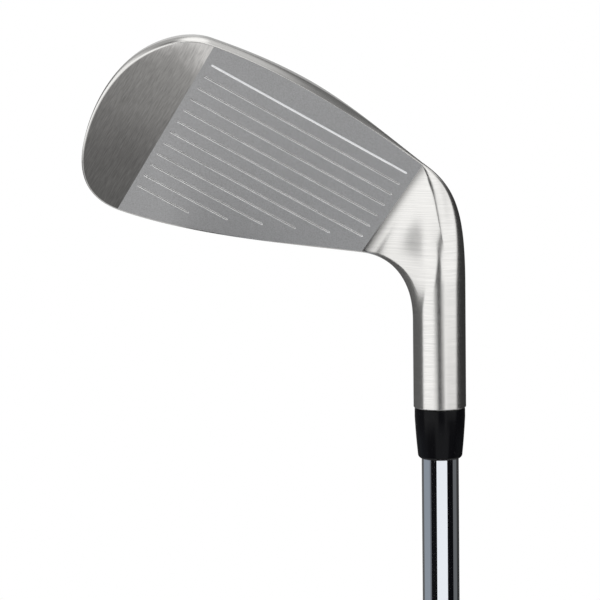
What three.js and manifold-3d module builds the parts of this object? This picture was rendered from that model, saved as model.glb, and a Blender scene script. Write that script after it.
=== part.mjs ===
// A left-handed 7-iron with a stepped steel shaft, standing on its grip butt with the head up.
// Millimetres, +Z up. Origin: centre of the butt end on the shaft axis. The face looks towards -Y.
//
// The head is drawn in face coordinates: u runs along the scorelines towards the heel, v runs up
// the face towards the topline and w runs from the face into the head. The lowest scoreline is
// v = 0 and its toe end is u = 0.

import * as THREE from 'three';
import { mergeVertices } from 'three/addons/utils/BufferGeometryUtils.js';
import Module from 'manifold-3d';

const wasm = await Module();
wasm.setup();

const RAD = Math.PI / 180;

// ---- driving dimensions ----

const PLAYING_LENGTH = 940;      // butt end to the point where the shaft axis meets the ground
const LIE = 60.75 * RAD;         // shaft axis to the ground
const LOFT = 30.5 * RAD;         // face to the vertical
const AXIS_FOOT = new THREE.Vector3(60.7, -7.4, 2.8);   // the axis at ground level, in u, v, w

const HOSEL_RADIUS = 6.65;
const HOSEL_END = 64.0;          // distances along the shaft axis count up from the axis foot
const BORE_RADIUS = 5.06;
const BORE_BOTTOM = 31.5;
const HOSEL_CHAMFER = 0.35;

const SCORELINES = 12;
const SCORELINE_PITCH = 3.6;
const SCORELINE_LENGTH = 56.3;
const SCORELINE_WIDTH = 0.66;
const SCORELINE_DEPTH = 0.45;
const FULL_SCORELINES = 7;       // the upper ones end earlier, where the topline comes down
const SHORT_SCORELINE_ENDS = [48.6, 40.6, 32.8, 24.5, 15.1];

const CAVITY_FLOOR = 3.3;        // wall thickness behind the face
const CAVITY_DRAFT = 1.3;
const PAD_THICKNESS = 0.6;
const BADGE_THICKNESS = 1.4;
const BADGE_MARGIN = 1.2;
const GLUE_GAP = 0.1;            // left between pieces that are stuck together

const SHAFT_TIP_RADIUS = 4.7;
const SHAFT_BUTT_RADIUS = 7.62;
const SHAFT_WALL = 0.52;
const SHAFT_STEPS = 10;
const SHAFT_STEP_PITCH = 38.1;
const SHAFT_STEP_RAMP = 1.6;
const FIRST_STEP_FROM_TIP = 232;
const SHAFT_TIP = 34.6;          // the tip's distance from the axis foot

const FERRULE_LENGTH = 12.8;
const FERRULE_RADII = [6.4, 5.65];
const FERRULE_ROUNDING = 1.1;

const GRIP_LENGTH = 267;
const GRIP_MOUTH_RADIUS = 8.8;
const GRIP_CORE_RADIUS = 7.98;
const CAP_RADIUS = 15.4;
const CAP_THICKNESS = 3.4;
const VENT_RADIUS = 1.6;
const BAND_LENGTH = 32;

const ROUND_SIDES = 40;

// ---- small helpers ----

const point3 = (u, v, w = 0) => new THREE.Vector3(u, v, w);

// Closed mesh from a list of points and a list of polygons that are already triangles.
function solid(points, triangles) {
  const geometry = new THREE.BufferGeometry();
  const coordinates = points.flatMap((p) => [p.x, p.y, p.z]);
  geometry.setAttribute('position', new THREE.Float32BufferAttribute(coordinates, 3));
  geometry.setIndex(triangles.flat());
  return outward(geometry);
}

// Turns every triangle round when the mesh is inside out.
function outward(geometry) {
  const position = geometry.attributes.position;
  const index = geometry.index.array;
  const [a, b, c] = [new THREE.Vector3(), new THREE.Vector3(), new THREE.Vector3()];
  let volume = 0;
  for (let i = 0; i < index.length; i += 3) {
    a.fromBufferAttribute(position, index[i]);
    b.fromBufferAttribute(position, index[i + 1]);
    c.fromBufferAttribute(position, index[i + 2]);
    volume += a.dot(b.cross(c));
  }
  if (volume < 0) {
    for (let i = 0; i < index.length; i += 3) {
      [index[i + 1], index[i + 2]] = [index[i + 2], index[i + 1]];
    }
  }
  return geometry;
}

function weld(geometry) {
  const bare = geometry.index ? geometry.clone() : mergeVertices(geometry.clone());
  bare.deleteAttribute('normal');
  bare.deleteAttribute('uv');
  return outward(mergeVertices(bare, 1e-5));
}

function toManifold(geometry) {
  const bare = weld(geometry);
  return new wasm.Manifold(new wasm.Mesh({
    numProp: 3,
    vertProperties: bare.attributes.position.array,
    triVerts: new Uint32Array(bare.index.array),
  }));
}

function fromManifold(manifold) {
  const mesh = manifold.getMesh();
  const geometry = new THREE.BufferGeometry();
  geometry.setAttribute('position', new THREE.BufferAttribute(mesh.vertProperties, 3));
  geometry.setIndex(new THREE.BufferAttribute(mesh.triVerts, 1));
  return geometry;
}

// A turned piece about Z from [radius, z] pairs.
function turned(profile, sides = ROUND_SIDES) {
  const points = profile.map(([radius, z]) => new THREE.Vector2(radius, z));
  return weld(new THREE.LatheGeometry(points, sides).rotateX(Math.PI / 2));
}

// A turned tube: the outside profile from one end to the other and back along the inside.
function turnedTube(outside, inside, sides = ROUND_SIDES) {
  return turned([...outside, ...inside.slice().reverse(), outside[0]], sides);
}

// Height on Z of a point on the shaft axis, given its distance from the axis foot.
const axisHeight = (distance) => PLAYING_LENGTH - distance;

// Catmull-Rom interpolation of evenly spaced values.
function keyed(values, x) {
  const last = values.length - 1;
  const i = Math.min(Math.floor(x), last - 1);
  const t = x - i;
  const [p0, p1, p2, p3] = [-1, 0, 1, 2].map((k) => values[THREE.MathUtils.clamp(i + k, 0, last)]);
  const slope1 = (p2 - p0) / 2;
  const slope2 = (p3 - p1) / 2;
  return p1 + t * slope1 + t * t * (3 * (p2 - p1) - 2 * slope1 - slope2)
    + t * t * t * (2 * (p1 - p2) + slope1 + slope2);
}

// ---- head outlines ----
// Both run from the heel end of the topline, round the toe, to the heel end of the sole. Each is
// five Bezier curves; the last one, along the sole, counts as two stretches, so x goes from 0 to 6.

const STRETCH_STEPS = [14, 12, 8, 9, 9, 9];

const FACE_EDGE = [
  [[58.3, 25.6], [40.1, 34.0], [19.8, 44.5], [-0.1, 48.3]],
  [[-0.1, 48.3], [-12.2, 50.6], [-15.7, 40.2], [-17.2, 33.8]],
  [[-17.2, 33.8], [-19.1, 26.0], [-19.1, 16.5], [-16.2, 9.3]],
  [[-16.2, 9.3], [-14.0, 3.8], [-9.3, -3.0], [-2.7, -4.4]],
  [[-2.7, -4.4], [15.3, -8.1], [38.9, -6.7], [58.3, -4.0]],
].map((curve) => new THREE.CubicBezierCurve3(...curve.map(([u, v]) => point3(u, v))));

const CAVITY_MOUTH = [
  [[50.5, 22.0, 6.4], [35.0, 29.2, 6.0], [18.0, 38.6, 5.7], [1.8, 41.6, 5.7]],
  [[1.8, 41.6, 5.7], [-6.3, 43.0, 5.7], [-8.9, 37.0, 6.2], [-10.0, 31.4, 6.9]],
  [[-10.0, 31.4, 6.9], [-11.0, 26.0, 7.6], [-11.0, 22.2, 8.2], [-9.6, 17.9, 9.0]],
  [[-9.6, 17.9, 9.0], [-7.8, 13.2, 10.2], [-4.0, 10.9, 11.2], [1.0, 10.4, 11.8]],
  [[1.0, 10.4, 11.8], [18.0, 8.6, 13.4], [34.0, 8.7, 13.2], [48.6, 9.8, 12.0]],
].map((curve) => new THREE.CubicBezierCurve3(...curve.map((p) => point3(...p))));
const CAVITY_HEEL = new THREE.CubicBezierCurve3(
  point3(48.6, 9.8, 12.0), point3(55.4, 10.3, 11.4), point3(56.0, 19.5, 7.8), point3(50.5, 22.0, 6.4));

function alongOutline(curves, x) {
  const i = Math.min(Math.floor(x), 4);
  const t = i < 4 ? x - i : (x - 4) / 2;
  return { point: curves[i].getPoint(t), tangent: curves[i].getTangent(t) };
}

// ---- rim: from the face edge over the topline, toe or sole to the back ----
// In the plane square to the outline: o points out of the head, w into it. A surface's angle is 0
// where it lies in the face, 90 degrees where it is square to it and 180 on a back parallel to it.

const RIM = {
  frontRadius: [0.5, 0.5, 0.6, 0.7, 0.3, 0.15, 0.15],
  bevel: [0, 0, 0.3, 1.4, 1.8, 2.7, 0.7],
  wall: [5.2, 4.7, 5.8, 9.4, 14.8, 18.0, 16.0],
  wallStart: [90, 90, 93, 100, 108, 106, 112],
  wallEnd: [90, 90, 96, 111, 124, 130, 127],
  backRadius: [0.9, 0.9, 1.1, 1.4, 1.9, 2.2, 2.0],
};
const BEVEL_START = 62 * RAD;
const BEVEL_END = 84 * RAD;
const FRONT_STEPS = 4;           // on either side of the bevel
const BEVEL_STEPS = 2;
const WALL_STEPS = 6;
const BACK_STEPS = 3;
const RIM_STEPS = 2 * FRONT_STEPS + BEVEL_STEPS + WALL_STEPS + BACK_STEPS;
const LADDER_STEPS = 14;
const HEEL_BACK_HOLLOW = 1.2;    // bulge of the back's heel end into the head

// Continues a profile by a stretch of the given length that turns from one angle to another.
function bend(profile, length, angle0, angle1, steps) {
  for (let i = 0; i < steps; i += 1) {
    const [o, w] = profile[profile.length - 1];
    const middle = angle0 + (angle1 - angle0) * (i + 0.5) / steps;
    const step = length / steps;
    profile.push([o + step * Math.cos(middle), w + step * Math.sin(middle)]);
  }
}

function rimPoints(x) {
  const edge = alongOutline(FACE_EDGE, x);
  const mouth = alongOutline(CAVITY_MOUTH, x).point;
  const out = point3(edge.tangent.y, -edge.tangent.x);
  const start = keyed(RIM.wallStart, x) * RAD;
  const end = keyed(RIM.wallEnd, x) * RAD;
  const frontRadius = keyed(RIM.frontRadius, x);
  const backRadius = keyed(RIM.backRadius, x);
  const profile = [[0, 0]];
  bend(profile, frontRadius * BEVEL_START, 0, BEVEL_START, FRONT_STEPS);
  bend(profile, keyed(RIM.bevel, x), BEVEL_START, BEVEL_END, BEVEL_STEPS);
  bend(profile, frontRadius * (start - BEVEL_END), BEVEL_END, start, FRONT_STEPS);
  bend(profile, keyed(RIM.wall, x), start, end, WALL_STEPS);
  const [wallO, wallW] = profile[profile.length - 1];
  const mouthO = mouth.clone().sub(edge.point).dot(out);
  const toMouth = [
    mouthO - wallO + backRadius * Math.sin(end),
    mouth.z - wallW - backRadius * Math.cos(end),
  ];
  const last = Math.atan2(toMouth[1], toMouth[0]) + Math.asin(backRadius / Math.hypot(...toMouth));
  const lastAngle = last < end ? last + 2 * Math.PI : last;
  bend(profile, backRadius * (lastAngle - end), end, lastAngle, BACK_STEPS);
  return profile.map(([o, w]) => edge.point.clone().addScaledVector(out, o).add(point3(0, 0, w)));
}

// ---- neck: from the heel end of the blade to the round hosel ----

const TO_GRIP = point3(Math.cos(LIE), Math.sin(LIE) * Math.cos(LOFT), -Math.sin(LIE) * Math.sin(LOFT));
const TO_CROTCH = point3(-Math.sin(LIE), Math.cos(LIE) * Math.cos(LOFT), -Math.cos(LIE) * Math.sin(LOFT));
const TO_FRONT = point3(0, -Math.sin(LOFT), -Math.cos(LOFT));
const NECK_STEPS = 14;

// Angles round the hosel, from the crotch towards the front, that the sides of the neck's first
// section lead to: topline rim, back, sole, bevel, leading edge and face.
const SECTION_SIDES = [
  { from: 30, to: -30, steps: RIM_STEPS },
  { from: -30, to: -140, steps: LADDER_STEPS },
  { from: -140, to: -174, steps: BACK_STEPS + WALL_STEPS },
  { from: -174, to: -200, steps: FRONT_STEPS + BEVEL_STEPS },
  { from: -200, to: -256, steps: FRONT_STEPS },
  { from: -256, to: -330, steps: LADDER_STEPS },
];
const SECTION_ANGLES = SECTION_SIDES.flatMap(({ from, to, steps }) => (
  Array.from({ length: steps }, (_, k) => (from + (to - from) * k / steps) * RAD)));

// The neck's lengthwise curves on the crotch, front, heel and back sides: where each joins the round
// hosel, the lengths of its two handles, and how far it sweeps round the hosel as it joins.
const NECK_ENDS = [42, 32, 33, 34];
const NECK_START_HANDLES = [8, 6, 12, 9];
const NECK_END_HANDLES = [10.5, 14, 16.5, 13];
const NECK_SWEEPS = [0, 10, 0, -20];
const FACE_CREASE = 0.18;        // slope at which the neck leaves the flat face
const HEEL_LINE_FOOT = -4;       // heights on the face of the two ends of the line where it does
const HEEL_LINE_TOP = 25.6;

// The leading edge is rounded over soon after it has passed the heel end of the face: the angles
// between which the rounding fades in, turns and fades out, and its sizes.
const LEADING_EDGE = [-140, -200, -256, -330];
const EDGE_ROUNDING_ACROSS = 5.0;
const EDGE_ROUNDING_BACK = 1.6;

function roundHosel(angle, distance, radius) {
  return AXIS_FOOT.clone()
    .addScaledVector(TO_GRIP, distance)
    .addScaledVector(TO_CROTCH, radius * Math.cos(angle))
    .addScaledVector(TO_FRONT, radius * Math.sin(angle));
}

// Blends the values of the crotch, front, heel and back sides at an angle round the hosel.
function sideValue([crotch, front, heel, back], angle) {
  const across = Math.cos(angle) > 0 ? crotch : heel;
  const fore = Math.sin(angle) > 0 ? front : back;
  return across * Math.cos(angle) ** 2 + fore * Math.sin(angle) ** 2;
}

function edgeRounding(angle) {
  const [sole, first, last, face] = LEADING_EDGE.map((limit) => limit * RAD);
  const inside = THREE.MathUtils.clamp(angle, last, first);
  const turn = (Math.PI / 2) * (1 + (inside - last) / (first - last));
  const fadeIn = (sole - angle) / (sole - first);
  const fadeOut = (angle - face) / (last - face);
  const share = THREE.MathUtils.clamp(angle > first ? fadeIn : fadeOut, 0, 1);
  const across = EDGE_ROUNDING_ACROSS * (1 + Math.cos(turn));
  return point3(0, across, EDGE_ROUNDING_BACK * (1 - Math.sin(turn))).multiplyScalar(share);
}

function neckCurve(start, angle) {
  const top = FACE_EDGE[0].getTangent(0).negate();
  const bottom = FACE_EDGE[4].getTangent(1);
  const height = (start.y - HEEL_LINE_FOOT) / (HEEL_LINE_TOP - HEEL_LINE_FOOT);
  const leave = bottom.lerp(top, THREE.MathUtils.clamp(height, 0, 1)).normalize();
  leave.z -= sideValue([0, FACE_CREASE, 0, 0], angle);
  const sweep = sideValue(NECK_SWEEPS, angle) * RAD;
  const join = TO_GRIP.clone().multiplyScalar(Math.cos(sweep))
    .addScaledVector(TO_CROTCH, -Math.sin(sweep) * Math.sin(angle))
    .addScaledVector(TO_FRONT, Math.sin(sweep) * Math.cos(angle));
  const end = roundHosel(angle, sideValue(NECK_ENDS, angle), HOSEL_RADIUS);
  const handle = start.clone().addScaledVector(leave, sideValue(NECK_START_HANDLES, angle));
  return new THREE.CubicBezierCurve3(
    start,
    handle.add(edgeRounding(angle)),
    end.clone().addScaledVector(join, -sideValue(NECK_END_HANDLES, angle)),
    end,
  );
}

// ---- head skin ----

class Skin {
  constructor() {
    this.points = [];
    this.triangles = [];
  }

  row(points) {
    return points.map((p) => this.points.push(p) - 1);
  }

  // Quads between two rows of the same length.
  strip(rowA, rowB) {
    for (let i = 0; i + 1 < rowA.length; i += 1) {
      this.triangles.push([rowA[i], rowA[i + 1], rowB[i + 1]], [rowA[i], rowB[i + 1], rowB[i]]);
    }
  }

  ring(rowA, rowB) {
    this.strip([...rowA, rowA[0]], [...rowB, rowB[0]]);
  }

  // A flat closed loop, filled; flip turns it to face the other way.
  fill(loop, flip) {
    const flat = loop.map((i) => new THREE.Vector2(this.points[i].x, this.points[i].y));
    for (const [a, b, c] of THREE.ShapeUtils.triangulateShape(flat, [])) {
      this.triangles.push(flip ? [loop[a], loop[c], loop[b]] : [loop[a], loop[b], loop[c]]);
    }
  }
}

function outlineSteps() {
  const stretch = (steps, i) => Array.from({ length: steps }, (_, k) => i + k / steps);
  return [...STRETCH_STEPS.flatMap(stretch), STRETCH_STEPS.length];
}

// Points strictly between two ends: straight, or with a bulge into the head.
function ladder(from, to, bulge) {
  return Array.from({ length: LADDER_STEPS - 1 }, (_, k) => {
    const t = (k + 1) / LADDER_STEPS;
    return from.clone().lerp(to, t).add(point3(0, 0, bulge * 4 * t * (1 - t)));
  });
}

// The cavity's mouth as one closed loop.
function cavityLoop(steps) {
  const heel = CAVITY_HEEL.getPoints(LADDER_STEPS).slice(1, -1);
  return [...steps.map((x) => alongOutline(CAVITY_MOUTH, x).point), ...heel];
}

// Moves each point of a closed loop inwards, square to the loop, and sets its depth.
function insetLoop(loop, distance, depth) {
  return loop.map((p, i) => {
    const before = loop[(i + loop.length - 1) % loop.length];
    const after = loop[(i + 1) % loop.length];
    const along = after.clone().sub(before).setZ(0).normalize();
    return point3(p.x - along.y * distance, p.y + along.x * distance, depth);
  });
}

function headBody() {
  const skin = new Skin();
  const steps = outlineSteps();
  const rims = steps.map((x) => skin.row(rimPoints(x)));
  for (let i = 0; i + 1 < rims.length; i += 1) {
    skin.strip(rims[i], rims[i + 1]);
  }
  const topRim = rims[0];
  const soleRim = rims[rims.length - 1].slice().reverse();
  const at = (i) => skin.points[i];
  const heelLine = skin.row(ladder(at(soleRim[RIM_STEPS]), at(topRim[0]), 0));
  const heelBack = skin.row(ladder(at(topRim[RIM_STEPS]), at(soleRim[0]), HEEL_BACK_HOLLOW));
  skin.fill([...rims.map((rim) => rim[0]), ...heelLine], false);

  const backEdge = [...rims.map((rim) => rim[RIM_STEPS]), ...heelBack.slice().reverse()];
  const mouthPoints = cavityLoop(steps);
  const mouth = skin.row(mouthPoints);
  const floor = skin.row(insetLoop(mouthPoints, CAVITY_DRAFT, CAVITY_FLOOR));
  skin.ring(mouth, backEdge);
  skin.ring(floor, mouth);
  skin.fill(floor, true);

  let section = [...topRim, ...heelBack, ...soleRim, ...heelLine];
  const curves = section.map((i, k) => neckCurve(at(i), SECTION_ANGLES[k]));
  for (let k = 1; k <= NECK_STEPS; k += 1) {
    const next = skin.row(curves.map((curve) => curve.getPoint(k / NECK_STEPS)));
    skin.ring(next, section);
    section = next;
  }
  const hoselRings = [
    [HOSEL_END - HOSEL_CHAMFER, HOSEL_RADIUS],
    [HOSEL_END, HOSEL_RADIUS - HOSEL_CHAMFER],
    [HOSEL_END, BORE_RADIUS],
    [BORE_BOTTOM, BORE_RADIUS],
  ];
  for (const [distance, radius] of hoselRings) {
    const next = skin.row(SECTION_ANGLES.map((angle) => roundHosel(angle, distance, radius)));
    skin.ring(next, section);
    section = next;
  }
  const [centre] = skin.row([roundHosel(0, BORE_BOTTOM, 0)]);
  for (let i = 0; i < section.length; i += 1) {
    skin.triangles.push([section[i], centre, section[(i + 1) % section.length]]);
  }
  return solid(skin.points, skin.triangles);
}

// ---- scorelines ----

const SCORELINE_SLOPE = 0.3;     // of a groove's sides
const CUTTER_OVERLAP = 0.2;      // height of the cutting bar above the face
const PAINT_GAP = 0.05;          // between the paint and the groove

function scorelineHeel(line) {
  return line < FULL_SCORELINES ? SCORELINE_LENGTH : SHORT_SCORELINE_ENDS[line - FULL_SCORELINES];
}

// A bar with sloping sides along u, from above the face (negative w) down to the given depth.
function scorelineBar(line, top, depth, width, trim) {
  const half = width / 2;
  const shape = new THREE.Shape([
    new THREE.Vector2(-half - SCORELINE_SLOPE * top, -top),
    new THREE.Vector2(half + SCORELINE_SLOPE * top, -top),
    new THREE.Vector2(half - SCORELINE_SLOPE * depth, depth),
    new THREE.Vector2(-half + SCORELINE_SLOPE * depth, depth),
  ]);
  const length = scorelineHeel(line) - 2 * trim;
  const bar = new THREE.ExtrudeGeometry(shape, { depth: length, bevelEnabled: false });
  const turn = new THREE.Matrix4().makeBasis(point3(0, 1, 0), point3(0, 0, 1), point3(1, 0, 0));
  bar.applyMatrix4(turn.setPosition(trim, line * SCORELINE_PITCH, 0));
  return bar;
}

function clubHead() {
  let head = toManifold(headBody());
  for (let line = 0; line < SCORELINES; line += 1) {
    const cutter = scorelineBar(line, CUTTER_OVERLAP, SCORELINE_DEPTH, SCORELINE_WIDTH, 0);
    head = head.subtract(toManifold(cutter));
  }
  return fromManifold(head);
}

function scorelinePaint() {
  const depth = SCORELINE_DEPTH - PAINT_GAP;
  return weld(scorelineBar(0, -PAINT_GAP, depth, SCORELINE_WIDTH - 2 * PAINT_GAP, PAINT_GAP));
}

// ---- plates in the cavity ----

function cavityPlate(inset, depth, thickness) {
  const everySecond = outlineSteps().filter((_, i) => i % 2 === 0);
  const loop = insetLoop(cavityLoop(everySecond), CAVITY_DRAFT + inset, 0);
  const skin = new Skin();
  const front = skin.row(loop.map((p) => p.clone().setZ(depth)));
  const back = skin.row(loop.map((p) => p.clone().setZ(depth + thickness)));
  skin.fill(front, false);
  skin.ring(back, front);
  skin.fill(back, true);
  return solid(skin.points, skin.triangles);
}

// ---- shaft and what is glued to it ----

function shaftRadii() {
  const tipHeight = axisHeight(SHAFT_TIP);
  const rise = (SHAFT_BUTT_RADIUS - SHAFT_TIP_RADIUS) / SHAFT_STEPS;
  const profile = [[SHAFT_TIP_RADIUS, tipHeight]];
  for (let i = 0; i < SHAFT_STEPS; i += 1) {
    const z = tipHeight - FIRST_STEP_FROM_TIP - i * SHAFT_STEP_PITCH;
    profile.push([SHAFT_TIP_RADIUS + i * rise, z]);
    profile.push([SHAFT_TIP_RADIUS + (i + 1) * rise, z - SHAFT_STEP_RAMP]);
  }
  profile.push([SHAFT_BUTT_RADIUS, CAP_THICKNESS + 0.3]);
  return profile;
}

function shaft() {
  const outside = shaftRadii();
  const inside = outside.map(([radius, z]) => [radius - SHAFT_WALL, z]);
  return turnedTube(outside, inside, 24);
}

function ferrule() {
  const [start, end] = FERRULE_RADII;
  const base = axisHeight(HOSEL_END) - GLUE_GAP;
  const tip = base - FERRULE_LENGTH;
  const inner = SHAFT_TIP_RADIUS + 0.06;
  const rounding = [0, 30, 60, 90].map((angle) => [
    end - FERRULE_ROUNDING * (1 - Math.cos(angle * RAD)),
    tip + FERRULE_ROUNDING * (1 - Math.sin(angle * RAD)),
  ]);
  const outside = [[start, base], [start, base - 2.2], ...rounding];
  return turned([...outside, [inner, tip], [inner, base], [start, base]]);
}

function hoselEpoxy() {
  const inner = SHAFT_TIP_RADIUS + 0.08;
  const outer = BORE_RADIUS - 0.08;
  const top = axisHeight(SHAFT_TIP) - 0.5;
  const bottom = axisHeight(HOSEL_END) + 0.6;
  return turned([[inner, bottom], [outer, bottom], [outer, top], [inner, top], [inner, bottom]]);
}

function tipWeight() {
  const tip = axisHeight(SHAFT_TIP);
  const shank = SHAFT_TIP_RADIUS - SHAFT_WALL - 0.1;
  const flange = SHAFT_TIP_RADIUS - 0.1;
  return turned([
    [0, tip + 1.8], [flange - 0.3, tip + 1.8], [flange, tip + 1.5], [flange, tip + 0.1],
    [shank, tip + 0.1], [shank, tip - 17], [shank - 0.8, tip - 18.5], [0, tip - 18.5],
  ], 24);
}

// ---- grip ----

function gripTape() {
  const inner = SHAFT_BUTT_RADIUS + 0.06;
  const outer = GRIP_CORE_RADIUS - 0.06;
  const low = CAP_THICKNESS + 1;
  const high = GRIP_LENGTH - 6;
  return turned([[inner, low], [outer, low], [outer, high], [inner, high], [inner, low]]);
}

function gripSleeve() {
  const low = CAP_THICKNESS + GLUE_GAP;
  const outside = [
    [CAP_RADIUS - 0.5, low], [CAP_RADIUS - 0.5, low + 2], [CAP_RADIUS - 1.4, low + 7],
    [13.4, 22], [12.5, 45], [11.6, 90], [10.4, 160], [9.5, 225], [GRIP_MOUTH_RADIUS, GRIP_LENGTH - 6],
    [GRIP_MOUTH_RADIUS, GRIP_LENGTH - 0.6], [GRIP_MOUTH_RADIUS - 0.5, GRIP_LENGTH],
  ];
  return turned([...outside, [GRIP_CORE_RADIUS, GRIP_LENGTH], [GRIP_CORE_RADIUS, low], outside[0]]);
}

function gripCap() {
  const edge = 1.2;
  return turned([
    [VENT_RADIUS, 0], [CAP_RADIUS - edge, 0], [CAP_RADIUS - 0.35, 0.35], [CAP_RADIUS, edge],
    [CAP_RADIUS, CAP_THICKNESS - 0.8], [CAP_RADIUS - 0.5, CAP_THICKNESS],
    [VENT_RADIUS, CAP_THICKNESS], [VENT_RADIUS, 0],
  ]);
}

function shaftBand() {
  const inner = SHAFT_BUTT_RADIUS + 0.05;
  const outer = inner + 0.12;
  const low = GRIP_LENGTH + 22;
  const high = low + BAND_LENGTH;
  return turned([[inner, low], [outer, low], [outer, high], [inner, high], [inner, low]]);
}

// ---- assembly ----

function piece(name, geometry, color, roughness, metalness) {
  const mesh = new THREE.Mesh(geometry, new THREE.MeshStandardMaterial({ color, roughness, metalness }));
  mesh.name = name;
  return mesh;
}

// The head group turns face coordinates into the club's own frame.
const along = point3(Math.sin(LIE), 0, -Math.cos(LIE));
const upFace = point3(-Math.cos(LOFT) * Math.cos(LIE), Math.sin(LOFT), -Math.cos(LOFT) * Math.sin(LIE));
const intoHead = point3(Math.sin(LOFT) * Math.cos(LIE), Math.cos(LOFT), Math.sin(LOFT) * Math.sin(LIE));
const headFrame = new THREE.Matrix4().makeBasis(along, upFace, intoHead);
const headGroup = new THREE.Group();
headGroup.quaternion.setFromRotationMatrix(headFrame);
headGroup.position.copy(AXIS_FOOT).applyMatrix4(headFrame).negate().add(point3(0, 0, PLAYING_LENGTH));

const padDepth = CAVITY_FLOOR + GLUE_GAP;
const badgeDepth = padDepth + PAD_THICKNESS + GLUE_GAP;
headGroup.add(
  piece('club_head', clubHead(), 0x97989a, 0.38, 1),
  piece('scoreline_paint', scorelinePaint(), 0xf4f5f6, 0.45, 0),
  piece('badge_pad', cavityPlate(BADGE_MARGIN + 1, padDepth, PAD_THICKNESS), 0x2b2b2c, 0.9, 0),
  piece('cavity_badge', cavityPlate(BADGE_MARGIN, badgeDepth, BADGE_THICKNESS), 0x35373a, 0.5, 0),
);

const club = new THREE.Group();
club.add(
  headGroup,
  piece('ferrule', ferrule(), 0x08080a, 0.12, 0),
  piece('hosel_epoxy', hoselEpoxy(), 0xb9a36a, 0.5, 0),
  piece('tip_weight', tipWeight(), 0xb08d3c, 0.35, 1),
  piece('shaft', shaft(), 0xd6dade, 0.06, 1),
  piece('shaft_band', shaftBand(), 0x3a3d42, 0.4, 0),
  piece('grip_tape', gripTape(), 0xd9cfb4, 0.8, 0),
  piece('grip', gripSleeve(), 0x161617, 0.8, 0),
  piece('grip_cap', gripCap(), 0x1b1b1d, 0.6, 0),
);

export default club;
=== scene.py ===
"""The looks of a left-handed 7-iron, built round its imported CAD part.

Blender works in metres in the part's own frame: +Z runs up the shaft to the head. The head is drawn
in millimetres in the face's directions: u along the scorelines towards the heel, v up the face
towards the topline, w from the face into the head, from the toe end of the lowest scoreline.
"""

import math

import bmesh
import bpy
from mathutils import Matrix, Vector, geometry


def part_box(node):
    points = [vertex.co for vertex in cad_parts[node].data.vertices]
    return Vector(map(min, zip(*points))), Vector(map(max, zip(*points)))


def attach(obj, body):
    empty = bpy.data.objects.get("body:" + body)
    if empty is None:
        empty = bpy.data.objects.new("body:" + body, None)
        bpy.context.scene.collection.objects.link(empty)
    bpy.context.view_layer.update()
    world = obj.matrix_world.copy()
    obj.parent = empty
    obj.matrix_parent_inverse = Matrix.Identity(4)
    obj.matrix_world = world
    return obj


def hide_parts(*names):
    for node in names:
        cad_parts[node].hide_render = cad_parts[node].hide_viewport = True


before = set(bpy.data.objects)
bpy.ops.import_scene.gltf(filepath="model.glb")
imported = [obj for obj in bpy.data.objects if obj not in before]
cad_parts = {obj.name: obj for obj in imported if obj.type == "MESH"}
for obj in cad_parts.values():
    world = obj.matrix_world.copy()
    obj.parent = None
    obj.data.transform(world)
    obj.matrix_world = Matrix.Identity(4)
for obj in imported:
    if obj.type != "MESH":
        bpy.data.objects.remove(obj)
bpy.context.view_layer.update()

MM = 0.001
UP = Vector((0, 0, 1))


# ---- camera ----

CAMERA_PLACE = (-0.1264, -0.4872, 0.9522)
CAMERA_TURN = (84.497, 0.781, -10.623)
CAMERA_LENS = 120


def add_camera():
    data = bpy.data.cameras.new("camera")
    data.lens = CAMERA_LENS
    camera = bpy.data.objects.new("camera", data)
    camera.location = CAMERA_PLACE
    camera.rotation_euler = [math.radians(angle) for angle in CAMERA_TURN]
    bpy.context.scene.collection.objects.link(camera)
    bpy.context.scene.camera = camera


# ---- shader building ----

class Shader:
    """A node tree, put together from short steps. Sockets and plain values are both accepted."""

    def __init__(self, tree):
        self.tree = tree

    def node(self, kind, inputs=(), **settings):
        made = self.tree.nodes.new("ShaderNode" + kind)
        for key, value in settings.items():
            setattr(made, key, value)
        for key, value in dict(inputs).items():
            self.feed(made.inputs[key], value)
        return made

    def feed(self, socket, value):
        if isinstance(value, bpy.types.NodeSocket):
            self.tree.links.new(value, socket)
        else:
            socket.default_value = value

    def math(self, operation, a, b=0.0):
        return self.node("Math", {0: a, 1: b}, operation=operation).outputs[0]

    def axis(self, vector, letter):
        return self.node("SeparateXYZ", {0: vector}).outputs[letter]

    def noise(self, vector, scale, detail=3.0, roughness=0.55):
        inputs = {"Vector": vector, "Scale": scale, "Detail": detail, "Roughness": roughness}
        return self.node("TexNoise", inputs).outputs["Fac"]

    def stretched(self, vector, scale):
        inputs = {"Vector": vector, "Scale": scale}
        return self.node("Mapping", inputs).outputs[0]

    def ramp(self, factor, stops, interpolation="LINEAR"):
        """A colour ramp from (position, grey or colour) stops."""
        made = self.node("ValToRGB", {"Fac": factor})
        made.color_ramp.interpolation = interpolation
        elements = made.color_ramp.elements
        while len(elements) < len(stops):
            elements.new(1.0)
        for element, (position, value) in zip(elements, stops):
            element.position = position
            element.color = colour(value)
        return made.outputs["Color"]

    def mix(self, factor, a, b):
        made = self.node("Mix", data_type="RGBA")
        for name, value in (("Factor", factor), ("A", colour(a)), ("B", colour(b))):
            self.feed(made.inputs[name], value)
        return made.outputs["Result"]

    def spread(self, factor, low, high):
        """Stretches a 0 to 1 value over another range."""
        inputs = {"Value": factor, "To Min": low, "To Max": high}
        return self.node("MapRange", inputs).outputs["Result"]

    def share(self, value, low, high):
        """Where a value lies between two others, from 0 to 1."""
        inputs = {"Value": value, "From Min": low, "From Max": high}
        return self.node("MapRange", inputs).outputs["Result"]

    def bump(self, height, depth):
        """Normals of a relief of that depth in millimetres."""
        inputs = {"Height": height, "Distance": depth * MM, "Strength": 1.0}
        return self.node("Bump", inputs).outputs["Normal"]


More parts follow.
